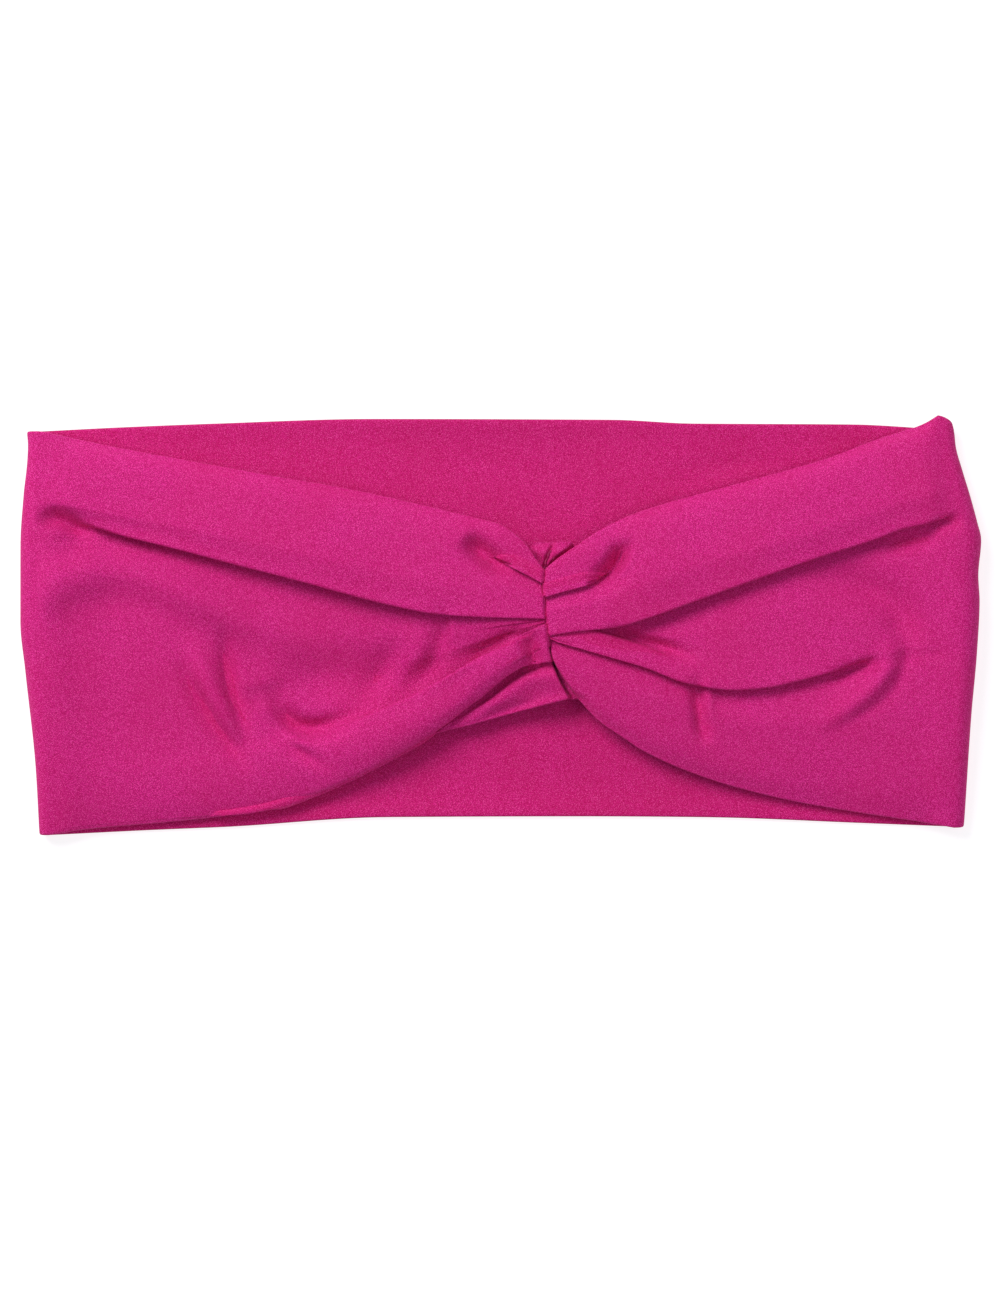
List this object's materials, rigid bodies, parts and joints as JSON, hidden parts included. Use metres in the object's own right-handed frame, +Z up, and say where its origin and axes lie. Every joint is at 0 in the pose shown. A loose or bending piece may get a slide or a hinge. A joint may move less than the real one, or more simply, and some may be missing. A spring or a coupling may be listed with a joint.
{
  "type": "sports headband",
  "caption": "Wide double-layer stretch-knit sports headband lying flat, its gathered back half on top of the plain front half.",
  "frame": {"origin": "centre of the footprint, on the surface that the flat band lies on", "axes": "+X along the flat loop, +Y across the strip towards its upper edge, +Z up through the layers"},
  "size_m": [0.23, 0.1005, 0.0126],
  "materials": {
    "outer_knit": "matte fine stretch knit, hot magenta",
    "lining_knit": "matte fine stretch knit, hot magenta, slightly deeper",
    "sewing_thread": "matte polyester sewing thread, matched to the knit",
    "clear_elastic": "thin clear elastic tape"
  },
  "bodies": {
    "front": {"outer_front": "outer_knit", "lining_front": "lining_knit", "top_edge_seam_front": "sewing_thread", "bottom_edge_seam_front": "sewing_thread"},
    "gather": {"outer_gather_left": "outer_knit", "outer_gather_right": "outer_knit", "lining_gather_left": "lining_knit", "lining_gather_right": "lining_knit", "gathering_thread_left": "sewing_thread", "gathering_thread_right": "sewing_thread", "gather_seam_stitching": "sewing_thread", "seam_allowance_left": "outer_knit", "seam_allowance_right": "outer_knit", "seam_elastic": "clear_elastic", "overlock_stitching_left": "sewing_thread", "overlock_stitching_right": "sewing_thread"},
    "back_left": {"outer_back_left": "outer_knit", "lining_back_left": "lining_knit", "top_edge_seam_left": "sewing_thread", "bottom_edge_seam_left": "sewing_thread"},
    "back_right": {"outer_back_right": "outer_knit", "lining_back_right": "lining_knit", "top_edge_seam_right": "sewing_thread", "bottom_edge_seam_right": "sewing_thread"}
  },
  "joints": [
    {"name": "loop_opening", "type": "slide", "parent": "front", "child": "gather", "axis": [0, 0, 1], "range_m": [0, 0.04]},
    {"name": "left_fold", "type": "hinge", "parent": "front", "child": "back_left", "pos_m": [-0.1057, 0, 0.0085], "axis": [0, -1, 0], "range_deg": [0, 22]},
    {"name": "right_fold", "type": "hinge", "parent": "front", "child": "back_right", "pos_m": [0.1057, 0, 0.0085], "axis": [0, 1, 0], "range_deg": [0, 28]}
  ],
  "couplings": [
    {"joint": "left_fold", "follows": "loop_opening", "rad_per_m": 9.5},
    {"joint": "right_fold", "follows": "loop_opening", "rad_per_m": 12}
  ]
}
